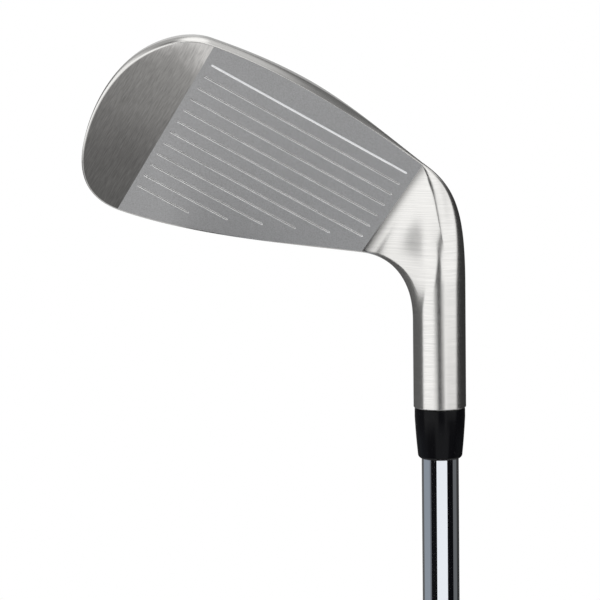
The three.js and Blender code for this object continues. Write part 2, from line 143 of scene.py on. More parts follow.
def colour(value):
    """What a colour socket takes, from a grey, a red-green-blue triple or another socket."""
    if isinstance(value, bpy.types.NodeSocket):
        return value
    if isinstance(value, (int, float)):
        return (value, value, value, 1.0)
    return (*value, 1.0)


class Finish(Shader):
    """A material round one Principled shader, with the mesh's own grain map in millimetres."""

    def __init__(self, name, **inputs):
        self.material = bpy.data.materials.new(name)
        self.material.use_nodes = True
        super().__init__(self.material.node_tree)
        self.surface = self.tree.nodes["Principled BSDF"]
        self.set(**inputs)

    def set(self, **inputs):
        for key, value in inputs.items():
            name = key.replace("_", " ")
            self.feed(self.surface.inputs[name], colour(value) if name == "Base Color" else value)

    def cover(self, tone, pattern, roughness, depth):
        """Sets the colour, and takes the roughness and a relief in millimetres from one pattern."""
        shine = self.spread(pattern, *roughness)
        self.set(Base_Color=tone, Roughness=shine, Normal=self.bump(pattern, depth))
        return self.material

    def grain(self):
        return self.node("UVMap", uv_map="grain").outputs["UV"]

    def place(self):
        """Object coordinates in millimetres."""
        position = self.node("TexCoord").outputs["Object"]
        return self.stretched(position, (1 / MM, 1 / MM, 1 / MM))

    def clouds(self, scale, detail=3.0, roughness=0.55):
        return self.noise(self.place(), scale, detail, roughness)

    def strokes(self, length, width, detail=4.0):
        """Brush strokes of about that length and width in millimetres."""
        lines = self.stretched(self.grain(), (1 / length, 1 / width, 1.0))
        return self.noise(lines, 1.0, detail, 0.6)

    def brush(self, spread):
        """Spreads the gloss across the strokes, which run along the grain map's first direction."""
        tangent = self.node("Tangent", direction_type="UV_MAP", uv_map="grain").outputs[0]
        self.set(Anisotropic=spread, Anisotropic_Rotation=0.25, Tangent=tangent)


# ---- finishes ----

def satin_steel():
    """Rims, neck and hosel: fine satin strokes round the hosel and along the rims."""
    finish = Finish("satin_steel", Metallic=1.0)
    fine = finish.strokes(7.0, 0.24)
    broad = finish.strokes(22.0, 0.9, 2.0)
    clouds = finish.clouds(0.08)
    tone = finish.mix(clouds, (0.655, 0.648, 0.632), (0.72, 0.712, 0.695))
    marks = finish.ramp(fine, [(0.33, 0.6), (0.62, 0.0)])
    finish.set(
        Base_Color=finish.mix(marks, tone, (0.54, 0.533, 0.52)),
        Roughness=finish.spread(finish.math("MULTIPLY", fine, broad), 0.20, 0.32),
        Normal=finish.bump(fine, 0.0009),
    )
    finish.brush(0.15)
    return finish.material


def blasted_steel(name="blasted_steel", dark=0.50, light=0.56):
    """The scoreline area: an even matte blast with a very fine grain and a trace of blue."""
    finish = Finish(name, Metallic=1.0)
    grit = finish.clouds(3.2, 2.0, 0.7)
    clouds = finish.clouds(0.10, 4.0, 0.6)
    dark_steel, light_steel = ((grey, grey * 1.003, grey * 1.02) for grey in (dark, light))
    tone = finish.mix(clouds, dark_steel, light_steel)
    tone = finish.mix(finish.ramp(grit, [(0.30, 1.0), (0.62, 0.0)]), tone, dark * 0.82)
    scuffs = finish.ramp(finish.strokes(9.0, 0.35, 3.0), [(0.62, 0.0), (0.78, 0.25)])
    return finish.cover(finish.mix(scuffs, tone, light * 1.15), grit, (0.48, 0.62), 0.012)


def cavity_steel():
    """The back: blasted too, and a little darker than the face."""
    return blasted_steel("cavity_steel", 0.42, 0.50)


def brushed_toe():
    """The toe end of the face: strokes up and down, with a painted highlight at the sole and painted
    shade that grows darker towards the top.
    """
    finish = Finish("brushed_toe", Metallic=1.0)
    coarse = finish.math("MULTIPLY", finish.strokes(4.5, 0.38), 0.45)
    fine = finish.math("MULTIPLY", finish.strokes(2.6, 0.17, 3.0), 0.55)
    lines = finish.math("ADD", coarse, fine)
    clouds = finish.math("SUBTRACT", finish.clouds(0.07), 0.5)
    height = finish.axis(finish.grain(), "X")
    painted_shading_height = finish.math("ADD", height, finish.math("MULTIPLY", clouds, 22.0))
    # Painted light and shade in the base colour: a painted highlight near the sole, and painted shade
    # darkening with height, made uneven by clouds.
    tone = finish.ramp(finish.share(painted_shading_height, -5.0, 50.0), [
        (0.0, (0.95, 0.93, 0.91)),
        (0.055, (0.80, 0.785, 0.765)),
        (0.10, (0.60, 0.588, 0.573)),
        (0.16, (0.43, 0.421, 0.410)),
        (0.27, (0.36, 0.353, 0.343)),
        (0.49, (0.25, 0.245, 0.238)),
        (0.72, (0.185, 0.181, 0.176)),
        (0.95, (0.165, 0.162, 0.157)),
    ])
    shine = finish.ramp(lines, [(0.38, 0.78), (0.62, 1.18)])
    shone = finish.node("VectorMath", {0: tone, 1: shine}, operation="MULTIPLY")
    finish.brush(0.5)
    return finish.cover(shone.outputs[0], lines, (0.34, 0.46), 0.004)


def groove_steel():
    """Milled grooves: blasted floor, a painted highlight along the side away from the sole, painted
    shade on the side towards it, and dirt.
    """
    finish = Finish("groove_steel", Metallic=1.0)
    height = finish.math("ADD", finish.axis(finish.grain(), "Y"), SCORELINE_PITCH / 2)
    within = finish.math("MODULO", height, SCORELINE_PITCH)
    edge = (SCORELINE_PITCH - SCORELINE_WIDTH) / 2
    share = finish.math("DIVIDE", finish.math("SUBTRACT", within, edge), SCORELINE_WIDTH)
    # Across each groove the colour is painted light: painted shade on the sole side and a painted
    # highlight on the far side.
    painted_glint_and_shade = finish.ramp(share, [(0.0, 0.36), (0.2, 0.46), (0.5, 0.55), (0.62, 1.0), (1.0, 1.0)])
    marks = finish.strokes(12.0, 0.10)
    dirt = finish.ramp(finish.clouds(0.12), [(0.45, 0.0), (0.65, 0.3)])
    return finish.cover(finish.mix(dirt, painted_glint_and_shade, (0.46, 0.457, 0.45)), marks, (0.34, 0.50), 0.003)


def line_enamel():
    finish = Finish("line_enamel", Coat_Weight=0.3, Coat_Roughness=0.15)
    clouds = finish.clouds(0.8, 4.0)
    tone = finish.mix(clouds, (0.92, 0.935, 0.955), (0.96, 0.97, 0.985))
    return finish.cover(tone, clouds, (0.35, 0.55), 0.02)


def mirror_chrome():
    """Plated shaft: nearly a mirror, with faint polishing lines round it."""
    finish = Finish("mirror_chrome", Metallic=1.0)
    rings = finish.strokes(40.0, 0.25, 3.0)
    haze = finish.clouds(0.03)
    finish.set(
        Base_Color=finish.mix(haze, (0.86, 0.885, 0.91), (0.90, 0.92, 0.94)),
        Roughness=finish.spread(finish.math("MULTIPLY", rings, haze), 0.02, 0.07),
        Normal=finish.bump(rings, 0.0002),
    )
    return finish.material


def ferrule_gloss():
    """Turned and buffed plastic with a few dust specks caught in the polish."""
    finish = Finish("ferrule_gloss", Specular_IOR_Level=0.10)
    specks = finish.ramp(finish.clouds(2.6, 2.0, 0.7), [(0.70, 0.0), (0.78, 1.0)])
    buffing = finish.strokes(20.0, 0.15)
    tone = finish.mix(specks, (0.004, 0.004, 0.005), (0.05, 0.05, 0.052))
    return finish.cover(tone, buffing, (0.12, 0.26), 0.002)


def grip_rubber():
    """Moulded rubber: soft sheen, fine pores, greyer where hands have polished the lands."""
    finish = Finish("grip_rubber", Specular_IOR_Level=0.4, Sheen_Weight=0.15, Sheen_Roughness=0.5)
    pores = finish.clouds(1.8, 3.0, 0.65)
    wear = finish.clouds(0.03)
    tone = finish.mix(wear, (0.016, 0.016, 0.017), (0.026, 0.026, 0.027))
    edges = finish.node("NewGeometry").outputs["Pointiness"]
    lands = finish.ramp(edges, [(0.47, 0.0), (0.53, 1.0)])
    tone = finish.mix(finish.math("MULTIPLY", lands, 0.5), tone, (0.045, 0.045, 0.046))
    return finish.cover(tone, pores, (0.62, 0.85), 0.05)


def cap_rubber():
    finish = Finish("cap_rubber", Specular_IOR_Level=0.4)
    pores = finish.clouds(1.5)
    scuffs = finish.ramp(finish.clouds(0.25, 4.0), [(0.55, 0.0), (0.7, 0.6)])
    tone = finish.mix(scuffs, (0.020, 0.020, 0.021), (0.052, 0.050, 0.048))
    return finish.cover(tone, pores, (0.45, 0.70), 0.03)


def badge_plate():
    """Dark anodised plate with strokes along it."""
    finish = Finish("badge_plate", Metallic=0.85)
    lines = finish.strokes(22.0, 0.14)
    clouds = finish.clouds(0.12)
    finish.brush(0.5)
    tone = finish.mix(clouds, (0.045, 0.048, 0.054), (0.075, 0.079, 0.087))
    return finish.cover(tone, lines, (0.30, 0.46), 0.004)


def soft_foam():
    finish = Finish("soft_foam", Roughness=0.95)
    cells = finish.clouds(3.0, 2.0)
    tone = finish.mix(cells, (0.015, 0.015, 0.016), (0.05, 0.05, 0.052))
    finish.set(Base_Color=tone, Normal=finish.bump(cells, 0.15))
    return finish.material


def amber_epoxy():
    finish = Finish("amber_epoxy", Transmission_Weight=0.3, IOR=1.5)
    cloud = finish.clouds(0.4, 4.0)
    tone = finish.mix(cloud, (0.48, 0.34, 0.12), (0.62, 0.47, 0.22))
    return finish.cover(tone, cloud, (0.25, 0.6), 0.1)


def turned_brass():
    finish = Finish("turned_brass", Metallic=1.0)
    rings = finish.noise(finish.stretched(finish.place(), (0.15, 0.15, 9.0)), 1.0)
    tone = finish.mix(rings, (0.62, 0.44, 0.16), (0.74, 0.55, 0.24))
    return finish.cover(tone, rings, (0.25, 0.45), 0.01)


def paper_tape():
    finish = Finish("paper_tape", Specular_IOR_Level=0.2)
    fibres = finish.noise(finish.stretched(finish.place(), (1.0, 1.0, 4.0)), 1.5, 4.0)
    tone = finish.mix(fibres, (0.66, 0.60, 0.46), (0.80, 0.75, 0.62))
    return finish.cover(tone, fibres, (0.75, 0.95), 0.04)


def band_film(low, high):
    """A printed film sleeve between two heights in millimetres: dark, with two pale rings."""
    finish = Finish("band_film", Coat_Weight=0.5, Coat_Roughness=0.12)
    dark, pale = (0.03, 0.032, 0.036), (0.55, 0.57, 0.60)
    stops = [(0.0, dark), (0.10, pale), (0.14, dark), (0.86, pale), (0.90, dark)]
    share = finish.share(finish.axis(finish.place(), "Z"), low, high)
    dots = finish.clouds(1.2)
    printing = finish.ramp(share, stops, "CONSTANT")
    tone = finish.mix(finish.math("MULTIPLY", dots, 0.2), printing, 0.2)
    return finish.cover(tone, dots, (0.30, 0.45), 0.01)


# ---- mesh building ----

CREASE, TURNED_CREASE = 40.0, 32.0      # degrees at which an edge stays sharp
CORNER_SHARE = 0.45         # the part of a profile's side that a rounded corner may take


class Skin:
    """Points, and faces that know their finish, their smooth group and their grain coordinates."""

    def __init__(self):
        self.points = []
        self.faces = []

    def row(self, points):
        first = len(self.points)
        self.points.extend(points)
        return list(range(first, len(self.points)))

    def face(self, corners, finish, group, grains):
        self.faces.append((corners, finish, group, grains))

    def join(self, rows, grains, finish, group, closed=True):
        """Quads between each row and the next. The grains of a closed row end with an extra one."""
        if closed:
            rows = [[*row, row[0]] for row in rows]
        for k in range(len(rows) - 1):
            for i in range(len(rows[k]) - 1):
                corners = [(k, i), (k, i + 1), (k + 1, i + 1), (k + 1, i)]
                points = [rows[a][b] for a, b in corners]
                self.face(points, finish, group, [grains[a][b] for a, b in corners])

    def stack(self, rows, places, finish, group, level=0):
        """Joins closed rows, with the grain running along them."""
        grains = [[(place, level + k) for place in places] for k in range(len(rows))]
        self.join(rows, grains, finish, group)

    def fill(self, loop, finish, group, holes=(), swapped=False):
        """A flat loop with holes, whose grain coordinates are its u and v, or v and u."""
        loops = [loop, *holes]
        flat = [[Vector((*self.points[i].xy, 0)) for i in one] for one in loops]
        order = [i for one in loops for i in one]
        for triangle in geometry.tessellate_polygon(flat):
            corners = [order[i] for i in triangle]
            places = [self.points[i] for i in corners]
            grains = [(p.y, p.x) if swapped else (p.x, p.y) for p in places]
            self.face(corners, finish, group, grains)

    def make(self, name, finishes, frame_matrix, crease=CREASE):
        """A Blender object; edges between smooth groups and over the crease angle stay sharp."""
        mesh = bpy.data.meshes.new(name)
        mesh.from_pydata([frame_matrix @ p for p in self.points], [], [f[0] for f in self.faces])
        grain = mesh.uv_layers.new(name="grain")
        for polygon, (_, finish, _, grains) in zip(mesh.polygons, self.faces):
            polygon.material_index = finish
            for loop, uv in zip(polygon.loop_indices, grains):
                grain.data[loop].uv = uv
        solid = bmesh.new()
        solid.from_mesh(mesh)
        group_of = [group for _, _, group, _ in self.faces]
        limit = math.radians(crease)
        for edge in solid.edges:
            sides = edge.link_faces
            if len(sides) == 2:
                split = group_of[sides[0].index] != group_of[sides[1].index]
                edge.smooth = not (split or edge.calc_face_angle(0) > limit)
        for face in solid.faces:
            face.smooth = True
        bmesh.ops.recalc_face_normals(solid, faces=solid.faces)
        solid.to_mesh(mesh)
        solid.free()
        for finish in finishes:
            mesh.materials.append(finish)
        made = bpy.data.objects.new(name, mesh)
        bpy.context.scene.collection.objects.link(made)
        return made


def lengths_along(points, closed=False):
    """Distance from the first point to each point, and back to the first if closed."""
    path = [*points, points[0]] if closed else points
    total = [0.0]
    for a, b in zip(path, path[1:]):
        total.append(total[-1] + (b - a).length)
    return total


def mounted(piece, node):
    """The piece rides on the club and stands for that CAD node, which is hidden."""
    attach(piece, "root")
    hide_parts(node)


def stacked(name, loops, places, material, crease=CREASE):
    """A piece in the head made from loops, one on the next, and closed at both ends."""
    skin = Skin()
    rows = [skin.row(loop) for loop in loops]
    skin.stack(rows, places, 0, name)
    skin.fill(rows[0], 0, name)
    skin.fill(rows[-1], 0, name)
    return skin.make(name, [material], HEAD, crease)


def turned(name, profile, material, sides=96, relief=None):
    """A piece turned about the shaft axis from a closed loop of (radius, height) in millimetres.

    relief gives a change of radius at an angle, height and radius.
    """
    skin = Skin()
    angles = [2 * math.pi * k / sides for k in range(sides)]
    lengths = lengths_along([Vector(pair) for pair in profile])
    rows, grains = [], []
    for (radius, z), length in zip(profile, lengths):
        row = []
        for angle in angles:
            r = radius + (relief(angle, z, radius) if relief else 0.0)
            row.append(Vector((r * math.cos(angle), r * math.sin(angle), z)))
        rows.append(skin.row(row))
        grains.append([(angle * radius, length) for angle in [*angles, 2 * math.pi]])
    rows.append(rows[0])
    grains.append([(u, lengths[-1] + 1) for u, _ in grains[0]])
    skin.join(rows, grains, 0, "turned")
    return skin.make(name, [material], Matrix.Scale(MM, 4), TURNED_CREASE)


def rounded(profile, radius, steps=4):
    """Cuts each corner of a closed profile with an arc of about that radius, where there is room."""
    made = []
    for i, corner in enumerate(profile):
        here = Vector(corner)
        before = Vector(profile[i - 1]) - here
        after = Vector(profile[(i + 1) % len(profile)]) - here
        reach = min(radius, before.length * CORNER_SHARE, after.length * CORNER_SHARE)
        start = here + before.normalized() * reach
        end = here + after.normalized() * reach
        for k in range(steps + 1):
            t = k / steps
            made.append(tuple(start * (1 - t) ** 2 + here * 2 * t * (1 - t) + end * t * t))
    return made


def smoothstep(low, high, value):
    share = min(max((value - low) / (high - low), 0.0), 1.0)
    return share * share * (3 - 2 * share)


def quarter_turn(radius, steps):
    """Points round a rounded edge: how far each lies in from one side, and in from the other."""
    angles = [math.pi / 2 * k / steps for k in range(steps + 1)]
    return [(radius * (1 - math.cos(a)), radius * (1 - math.sin(a))) for a in angles]


# ---- head: driving dimensions, as in the CAD part ----

PLAYING_LENGTH = 940
LIE = math.radians(60.75)
LOFT = math.radians(30.5)
AXIS_FOOT = Vector((60.7, -7.4, 2.8))
HOSEL_RADIUS = 6.65
HOSEL_END = 64.0
BORE_RADIUS = 5.06
BORE_BOTTOM = 31.5
HOSEL_CHAMFER = 0.35
BORE_MOUTH_CHAMFER, BORE_FLOOR_CHAMFER = 0.3, 0.6

SCORELINE_PITCH = 3.6
SCORELINE_WIDTH = 0.66
SCORELINE_DEPTH = 0.45
SCORELINE_ENDS = [*[56.3] * 7, 48.6, 40.6, 32.8, 24.5, 15.1]
TOE_LINE_FOOT = Vector((-1.7, -4.4, 0))
TOE_LINE_TOP = Vector((-1.1, 48.1, 0))
TOE_LINE_SPANS = [(0.5, 2.0), (3.0, 5.0)]   # parts of the outline that its two ends lie in

CAVITY_FLOOR = 3.3
BADGE_DEPTH = 4.1
BADGE_THICKNESS = 1.4
BADGE_INSET = 2.5

SATIN, BLASTED, TOE, GROOVE, BACK = range(5)

STRETCH_STEPS = [64, 52, 34, 40, 40, 40]
FRONT_STEPS, BEVEL_STEPS, WALL_STEPS, BACK_STEPS = 8, 6, 12, 8
RIM_STEPS = 2 * FRONT_STEPS + BEVEL_STEPS + WALL_STEPS + BACK_STEPS
LADDER_STEPS, NECK_STEPS, HOSEL_STEPS = 44, 70, 12


def chained(points):
    """Bezier curves that share their ends: every third point is an end."""
    places = [Vector((*p, 0.0)[:3]) for p in points]
    return [places[i:i + 4] for i in range(0, len(places) - 1, 3)]


FACE_EDGE = chained([
    (58.3, 25.6), (40.1, 34.0), (19.8, 44.5),
    (-0.1, 48.3), (-12.2, 50.6), (-15.7, 40.2),
    (-17.2, 33.8), (-19.1, 26.0), (-19.1, 16.5),
    (-16.2, 9.3), (-14.0, 3.8), (-9.3, -3.0),
    (-2.7, -4.4), (15.3, -8.1), (38.9, -6.7), (58.3, -4.0),
])
CAVITY_MOUTH = chained([
    (50.5, 22.0, 6.4), (35.0, 29.2, 6.0), (18.0, 38.6, 5.7),
    (1.8, 41.6, 5.7), (-6.3, 43.0, 5.7), (-8.9, 37.0, 6.2),
    (-10.0, 31.4, 6.9), (-11.0, 26.0, 7.6), (-11.0, 22.2, 8.2),
    (-9.6, 17.9, 9.0), (-7.8, 13.2, 10.2), (-4.0, 10.9, 11.2),
    (1.0, 10.4, 11.8), (18.0, 8.6, 13.4), (34.0, 8.7, 13.2), (48.6, 9.8, 12.0),
])
CAVITY_HEEL = chained([(48.6, 9.8, 12.0), (55.4, 10.3, 11.4), (56.0, 19.5, 7.8), (50.5, 22.0, 6.4)])[0]

# Rim values at the ends of the outline's stretches, from the heel end of the topline round the toe
# to the heel end of the sole. A surface's angle is 0 in the face and 90 degrees square to it.
FRONT_RADIUS = [0.5, 0.5, 0.6, 0.7, 0.25, 0.08, 0.08]
BEVEL = [0.0, 0.0, 0.3, 1.4, 1.8, 2.7, 0.7]
BEVEL_START, BEVEL_END = math.radians(62), math.radians(84)
WALL = [5.2, 4.7, 5.8, 9.4, 14.8, 18.0, 16.0]
WALL_START = [90, 90, 93, 100, 108, 106, 112]
WALL_END = [90, 90, 96, 111, 124, 130, 127]
BACK_RADIUS = [0.9, 0.9, 1.1, 1.4, 1.9, 2.2, 2.0]

# Directions towards the grip, from the hosel's axis towards the crotch and towards the front: the
# part's -Z, -X and -Y, in the face's directions.
TO_GRIP = Vector((math.cos(LIE), math.sin(LIE) * math.cos(LOFT), -math.sin(LIE) * math.sin(LOFT)))
TO_CROTCH = Vector((-math.sin(LIE), math.cos(LIE) * math.cos(LOFT), -math.cos(LIE) * math.sin(LOFT)))
TO_FRONT = Vector((0, -math.sin(LOFT), -math.cos(LOFT)))

# Angles round the hosel, from the crotch towards the front, that the parts of the neck's first
# section lead to, and their steps: topline rim, back, sole, bevel, leading edge and face.
SECTION_SIDES = [
    (30, -30, RIM_STEPS), (-30, -140, LADDER_STEPS), (-140, -174, BACK_STEPS + WALL_STEPS),
    (-174, -200, FRONT_STEPS + BEVEL_STEPS), (-200, -256, FRONT_STEPS), (-256, -330, LADDER_STEPS),
]
NECK_ENDS = [42, 32, 33, 34]            # crotch, front, heel and back sides
NECK_START_HANDLES = [8, 6, 12, 9]
NECK_END_HANDLES = [10.5, 14, 16.5, 13]
NECK_SWEEPS = [0, 10, 0, -20]
FACE_CREASE = 0.18
LEADING_EDGE = [-140, -200, -256, -330]   # where the rounding of the leading edge fades in and out
EDGE_ROUNDING_ACROSS, EDGE_ROUNDING_BACK = 5.0, 1.6
HEEL_LINE_FOOT, HEEL_LINE_TOP = -4.0, 25.6
HEEL_BACK_BULGE = 1.2


# From the face's millimetres to the part's metres.
TURN = Matrix((-TO_CROTCH, -TO_FRONT, -TO_GRIP)).to_4x4()
LIFT = Matrix.Translation(UP * PLAYING_LENGTH)
HEAD = Matrix.Scale(MM, 4) @ LIFT @ TURN @ Matrix.Translation(-AXIS_FOOT)


def keyed(values, x):
    """Catmull-Rom interpolation of evenly spaced values."""
    last = len(values) - 1
    i = min(int(x), last - 1)
    t = x - i
    p0, p1, p2, p3 = (values[min(max(i + k, 0), last)] for k in (-1, 0, 1, 2))
    slope1, slope2 = (p2 - p0) / 2, (p3 - p1) / 2
    square = 3 * (p2 - p1) - 2 * slope1 - slope2
    return p1 + t * slope1 + t * t * square + t ** 3 * (2 * (p1 - p2) + slope1 + slope2)


def bezier(curve, t):
    a, b, c, d = curve
    s = 1 - t
    return a * s ** 3 + b * 3 * s * s * t + c * 3 * s * t * t + d * t ** 3


def bezier_tangent(curve, t):
    a, b, c, d = curve
    s = 1 - t
    return ((b - a) * s * s + (c - b) * 2 * s * t + (d - c) * t * t).normalized()


def along_outline(curves, x):
    """Point and direction at x from 0 to 6; the last curve, the sole's, counts as two stretches."""
    i = min(int(x), 4)
    t = x - i if i < 4 else (x - 4) / 2
    return bezier(curves[i], t), bezier_tangent(curves[i], t)


def toe_side(x):
    """Positive where the face edge is on the heel side of the brushed toe's border."""
    line = TOE_LINE_TOP - TOE_LINE_FOOT
    place = along_outline(FACE_EDGE, x)[0] - TOE_LINE_FOOT
    return line.y * place.x - line.x * place.y


def toe_crossing(low, high):
    """Where the face edge crosses that border, between two outline positions, by halving."""
    side = toe_side(low) > 0
    for _ in range(40):
        middle = (low + high) / 2
        if (toe_side(middle) > 0) == side:
            low = middle
        else:
            high = middle
    return low


def outline_steps():
    steps = [i + k / count for i, count in enumerate(STRETCH_STEPS) for k in range(count)]
    return sorted([*steps, 6.0, *(toe_crossing(*span) for span in TOE_LINE_SPANS)])


def bend(profile, length, angle0, angle1, steps):
    """Continues a profile by a stretch that turns from one angle to another."""
    side = length / steps
    for i in range(steps):
        o, w = profile[-1]
        middle = angle0 + (angle1 - angle0) * (i + 0.5) / steps
        profile.append((o + side * math.cos(middle), w + side * math.sin(middle)))


def rim_points(x):
    """The rim from the face edge to the back, in the plane square to the outline."""
    edge, tangent = along_outline(FACE_EDGE, x)
    mouth, _ = along_outline(CAVITY_MOUTH, x)
    out = Vector((tangent.y, -tangent.x, 0))
    start = math.radians(keyed(WALL_START, x))
    end = math.radians(keyed(WALL_END, x))
    back_radius = keyed(BACK_RADIUS, x)
    front_radius = keyed(FRONT_RADIUS, x)
    profile = [(0.0, 0.0)]
    bend(profile, front_radius * BEVEL_START, 0.0, BEVEL_START, FRONT_STEPS)
    bend(profile, keyed(BEVEL, x), BEVEL_START, BEVEL_END, BEVEL_STEPS)
    bend(profile, front_radius * (start - BEVEL_END), BEVEL_END, start, FRONT_STEPS)
    bend(profile, keyed(WALL, x), start, end, WALL_STEPS)
    wall_o, wall_w = profile[-1]
    reach_o = (mouth - edge).dot(out) - wall_o + back_radius * math.sin(end)
    reach_w = mouth.z - wall_w - back_radius * math.cos(end)
    last = math.atan2(reach_w, reach_o) + math.asin(back_radius / math.hypot(reach_o, reach_w))
    if last < end:
        last += 2 * math.pi
    bend(profile, back_radius * (last - end), end, last, BACK_STEPS)
    return [edge + out * o + UP * w for o, w in profile]


def round_hosel(angle, distance, radius):
    place = AXIS_FOOT + TO_GRIP * distance
    return place + TO_CROTCH * (radius * math.cos(angle)) + TO_FRONT * (radius * math.sin(angle))


def side_value(values, angle):
    """Blends the values of the crotch, front, heel and back sides."""
    crotch, front, heel, back = values
    across = crotch if math.cos(angle) > 0 else heel
    fore = front if math.sin(angle) > 0 else back
    return across * math.cos(angle) ** 2 + fore * math.sin(angle) ** 2


def edge_rounding(angle):
    """Rounds the leading edge over, soon after it has passed the heel end of the face."""
    sole, first, last, face = (math.radians(limit) for limit in LEADING_EDGE)
    inside = min(max(angle, last), first)
    turn = math.pi / 2 * (1 + (inside - last) / (first - last))
    share = (sole - angle) / (sole - first) if angle > first else (angle - face) / (last - face)
    across = EDGE_ROUNDING_ACROSS * (1 + math.cos(turn))
    back = EDGE_ROUNDING_BACK * (1 - math.sin(turn))
    return Vector((0, across, back)) * min(max(share, 0.0), 1.0)


def neck_curve(start, angle):
    top = -bezier_tangent(FACE_EDGE[0], 0)
    bottom = bezier_tangent(FACE_EDGE[4], 1)
    height = (start.y - HEEL_LINE_FOOT) / (HEEL_LINE_TOP - HEEL_LINE_FOOT)
    leave = bottom.lerp(top, min(max(height, 0), 1)).normalized()
    leave.z -= side_value([0, FACE_CREASE, 0, 0], angle)
    sweep = math.radians(side_value(NECK_SWEEPS, angle))
    join = TO_GRIP * math.cos(sweep)
    join += TO_CROTCH * (-math.sin(sweep) * math.sin(angle))
    join += TO_FRONT * (math.sin(sweep) * math.cos(angle))
    end = round_hosel(angle, side_value(NECK_ENDS, angle), HOSEL_RADIUS)
    handle = start + leave * side_value(NECK_START_HANDLES, angle) + edge_rounding(angle)
    return [start, handle, end - join * side_value(NECK_END_HANDLES, angle), end]


def ladder(start, end, bulge):
    """Points strictly between two ends, with a bulge into the head."""
    shares = [k / LADDER_STEPS for k in range(1, LADDER_STEPS)]
    return [start.lerp(end, t) + UP * (bulge * 4 * t * (1 - t)) for t in shares]


def cavity_loop(steps):
    """The cavity mouth as one closed loop."""
    heel = [bezier(CAVITY_HEEL, k / LADDER_STEPS) for k in range(1, LADDER_STEPS)]
    return [*(along_outline(CAVITY_MOUTH, x)[0] for x in steps), *heel]


def inset_loop(loop, distance):
    """Moves each point of a closed loop inwards, square to the loop."""
    moved = []
    for i, p in enumerate(loop):
        way = loop[(i + 1) % len(loop)] - loop[i - 1]
        way.z = 0
        way.normalize()
        moved.append(Vector((p.x - way.y * distance, p.y + way.x * distance, p.z)))
    return moved


# ---- head: parts of its skin ----

GROOVE_RINGS = [          # inset from the groove's edge, depth
    (0.0, 0.0), (0.03, 0.01), (0.06, 0.035), (0.09, 0.09),
    (0.12, 0.20), (0.155, 0.34), (0.20, 0.42), (0.26, SCORELINE_DEPTH),
]
GROOVE_END_STEPS = 8


def groove_loop(line, inset, depth):
    """A slot's outline with round ends, at that inset and depth."""
    half = SCORELINE_WIDTH / 2
    radius = half - inset
    points = []
    for centre, first in ((SCORELINE_ENDS[line] - half, -90), (half, 90)):
        for k in range(GROOVE_END_STEPS + 1):
            angle = math.radians(first + 180 * k / GROOVE_END_STEPS)
            v = line * SCORELINE_PITCH + radius * math.sin(angle)
            points.append(Vector((centre + radius * math.cos(angle), v, depth)))
    return points


def add_grooves(skin):
    """Cuts the twelve scorelines and returns their edge loops."""
    edges = []
    for line in range(len(SCORELINE_ENDS)):
        rings = [skin.row(groove_loop(line, inset, depth)) for inset, depth in GROOVE_RINGS]
        grains = [[tuple(skin.points[i].xy) for i in [*ring, ring[0]]] for ring in rings]
        group = f"groove{line}"
        skin.join(rings, grains, GROOVE, group)
        skin.fill(rings[-1], GROOVE, group)
        edges.append(rings[0])
    return edges


def add_rims(skin, steps):
    """The band from the face edge to the back, all round the blade."""
    rows = [skin.row(rim_points(x)) for x in steps]
    grains = []
    for row, length in zip(rows, lengths_along([skin.points[row[0]] for row in rows])):
        across = lengths_along([skin.points[i] for i in row])
        grains.append([(length, a) for a in across])
    skin.join(rows, grains, SATIN, "outside", closed=False)
    return rows


MOUTH_ROUNDING, CAVITY_FILLET, WALL_INSET = 0.5, 1.4, 1.1
MOUTH_STEPS, FILLET_STEPS, BACK_RIM_STEPS = 5, 7, 4


def add_cavity(skin, steps, back_edge):
    """The flat rim at the back and the pocket in it, with a rounded mouth and a filleted floor."""
    mouth = cavity_loop(steps)
    places = lengths_along(mouth, closed=True)
    edge = [skin.points[i] for i in back_edge]
    rows = [back_edge]
    for k in range(1, BACK_RIM_STEPS):
        rows.append(skin.row([a.lerp(b, k / BACK_RIM_STEPS) for a, b in zip(edge, mouth)]))
    for inward, left in quarter_turn(MOUTH_ROUNDING, MOUTH_STEPS):
        ring = inset_loop(mouth, inward)
        rows.append(skin.row([p + UP * (left - MOUTH_ROUNDING) for p in ring]))
    for inward, left in quarter_turn(CAVITY_FILLET, FILLET_STEPS):
        ring = inset_loop(mouth, WALL_INSET + inward)
        rows.append(skin.row([Vector((*p.xy, CAVITY_FLOOR + left)) for p in ring]))
    skin.stack(rows[:BACK_RIM_STEPS + 1], places, SATIN, "outside")
    skin.stack(rows[BACK_RIM_STEPS:], places, BACK, "cavity", BACK_RIM_STEPS)
    skin.fill(rows[-1], BACK, "cavity")


